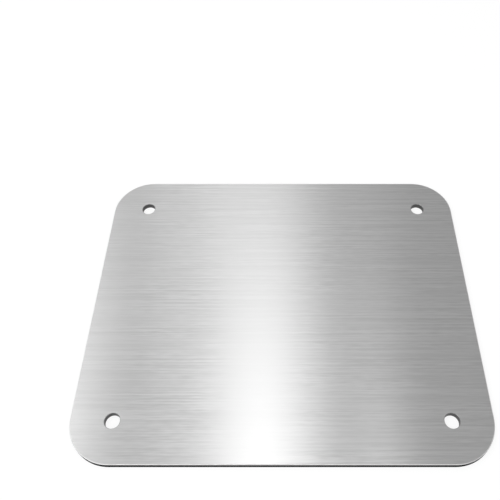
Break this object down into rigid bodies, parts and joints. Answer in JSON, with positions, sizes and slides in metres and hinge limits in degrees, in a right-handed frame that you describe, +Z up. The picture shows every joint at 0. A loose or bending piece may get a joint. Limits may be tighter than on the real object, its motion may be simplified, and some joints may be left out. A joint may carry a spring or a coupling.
{
  "type": "transom support plate",
  "caption": "Flat brushed steel backing plate with rounded corners and a bolt hole near each corner, to spread bolt loads over a transom.",
  "frame": {"origin": "middle of the plate's lower face", "axes": "+Z up through the sheet's thickness, +X along the longer side and the brush grain, +Y along the shorter side, away from the viewer of the picture"},
  "size_m": [0.3, 0.25, 0.005],
  "materials": {
    "brushed_sheet": "brushed along the longer side, faces satin, rims rounded over"
  },
  "bodies": {
    "root": {"support_plate": "brushed_sheet"}
  },
  "joints": []
}
